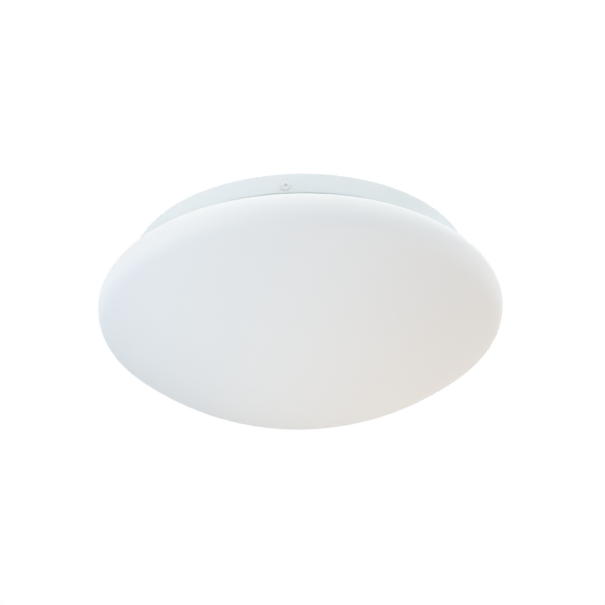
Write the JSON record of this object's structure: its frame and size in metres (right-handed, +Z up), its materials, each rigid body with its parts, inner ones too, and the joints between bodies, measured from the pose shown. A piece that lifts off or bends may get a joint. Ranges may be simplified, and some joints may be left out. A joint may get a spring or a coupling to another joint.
{
  "type": "flush mount ceiling light",
  "caption": "Flush ceiling light: white steel pan, domed opal glass bowl on spring clips, two screw-in lamps inside.",
  "frame": {"origin": "centre of the pan's ceiling face, in the ceiling's plane", "axes": "+Z up into the ceiling; X along the two lamps; -Y towards the clip screw that faces the room"},
  "size_m": [0.3499, 0.35, 0.13],
  "materials": {
    "white_enamel": "smooth white powder coat, semi-gloss",
    "black_rubber": "matt moulded rubber",
    "opal_glass": "opaque white opal glass, satin acid-etched outside",
    "spring_steel": "bare tempered strip",
    "white_screws": "white coated, semi-gloss",
    "zinc_steel": "bright zinc plate",
    "natural_nylon": "natural nylon, slightly see-through",
    "brass": "bare machined brass",
    "tinned_copper": "tin plate",
    "green_wire": "green and yellow PVC",
    "brown_wire": "brown silicone rubber sleeve",
    "blue_wire": "blue silicone rubber sleeve",
    "porcelain": "glazed white porcelain",
    "solder": "rounded solder",
    "black_glass": "black vitrite glass",
    "lamp_cap_metal": "nickel-plated screw cap",
    "lamp_plastic": "white moulded plastic",
    "lamp_diffuser": "frosted polycarbonate"
  },
  "bodies": {
    "fixture": {"block_screws": "zinc_steel", "bracket_screws": "zinc_steel", "cable_bush": "black_rubber", "ceiling_pan": "white_enamel", "clip_nuts": "zinc_steel", "clip_screws": "white_screws", "earth_ring_terminal": "tinned_copper", "earth_screw": "brass", "earth_washer": "zinc_steel", "earth_wire": "green_wire", "left_centre_contact": "brass", "left_holder_bracket": "zinc_steel", "left_holder_screws": "zinc_steel", "left_lamp_holder": "porcelain", "left_screw_shell": "brass", "live_link_wire": "brown_wire", "live_wire": "brown_wire", "neutral_link_wire": "blue_wire", "neutral_wire": "blue_wire", "right_centre_contact": "brass", "right_holder_bracket": "zinc_steel", "right_holder_screws": "zinc_steel", "right_lamp_holder": "porcelain", "right_screw_shell": "brass", "spring_clip_1": "spring_steel", "spring_clip_2": "spring_steel", "spring_clip_3": "spring_steel", "terminal_block": "natural_nylon", "terminal_inserts": "brass", "terminal_screws": "zinc_steel"},
    "shade": {"glass_shade": "opal_glass"},
    "right_lamp_carrier": {"right_lamp_insulator": "black_glass"},
    "right_lamp": {"right_lamp_tip": "solder", "right_lamp_cap": "lamp_cap_metal", "right_lamp_body": "lamp_plastic", "right_lamp_globe": "lamp_diffuser"},
    "left_lamp_carrier": {"left_lamp_insulator": "black_glass"},
    "left_lamp": {"left_lamp_tip": "solder", "left_lamp_cap": "lamp_cap_metal", "left_lamp_body": "lamp_plastic", "left_lamp_globe": "lamp_diffuser"}
  },
  "joints": [
    {"name": "shade_release", "type": "slide", "parent": "fixture", "child": "shade", "axis": [0, 0, -1], "range_m": [0, 0.09], "deforming": ["spring_clip_1", "spring_clip_2", "spring_clip_3"]},
    {"name": "right_lamp_travel", "type": "slide", "parent": "fixture", "child": "right_lamp_carrier", "axis": [1, 0, 0], "range_m": [0, 0.0182]},
    {"name": "right_lamp_turn", "type": "hinge", "parent": "right_lamp_carrier", "child": "right_lamp", "pos_m": [-0.015, -0.034, -0.048], "axis": [1, 0, 0], "range_deg": [0, 1800]},
    {"name": "left_lamp_travel", "type": "slide", "parent": "fixture", "child": "left_lamp_carrier", "axis": [-1, 0, 0], "range_m": [0, 0.0182]},
    {"name": "left_lamp_turn", "type": "hinge", "parent": "left_lamp_carrier", "child": "left_lamp", "pos_m": [0.015, 0.034, -0.048], "axis": [-1, 0, 0], "range_deg": [0, 1800]}
  ],
  "couplings": [
    {"joint": "right_lamp_travel", "follows": "right_lamp_turn", "m_per_rad": 0.00057757},
    {"joint": "left_lamp_travel", "follows": "left_lamp_turn", "m_per_rad": 0.00057757}
  ]
}
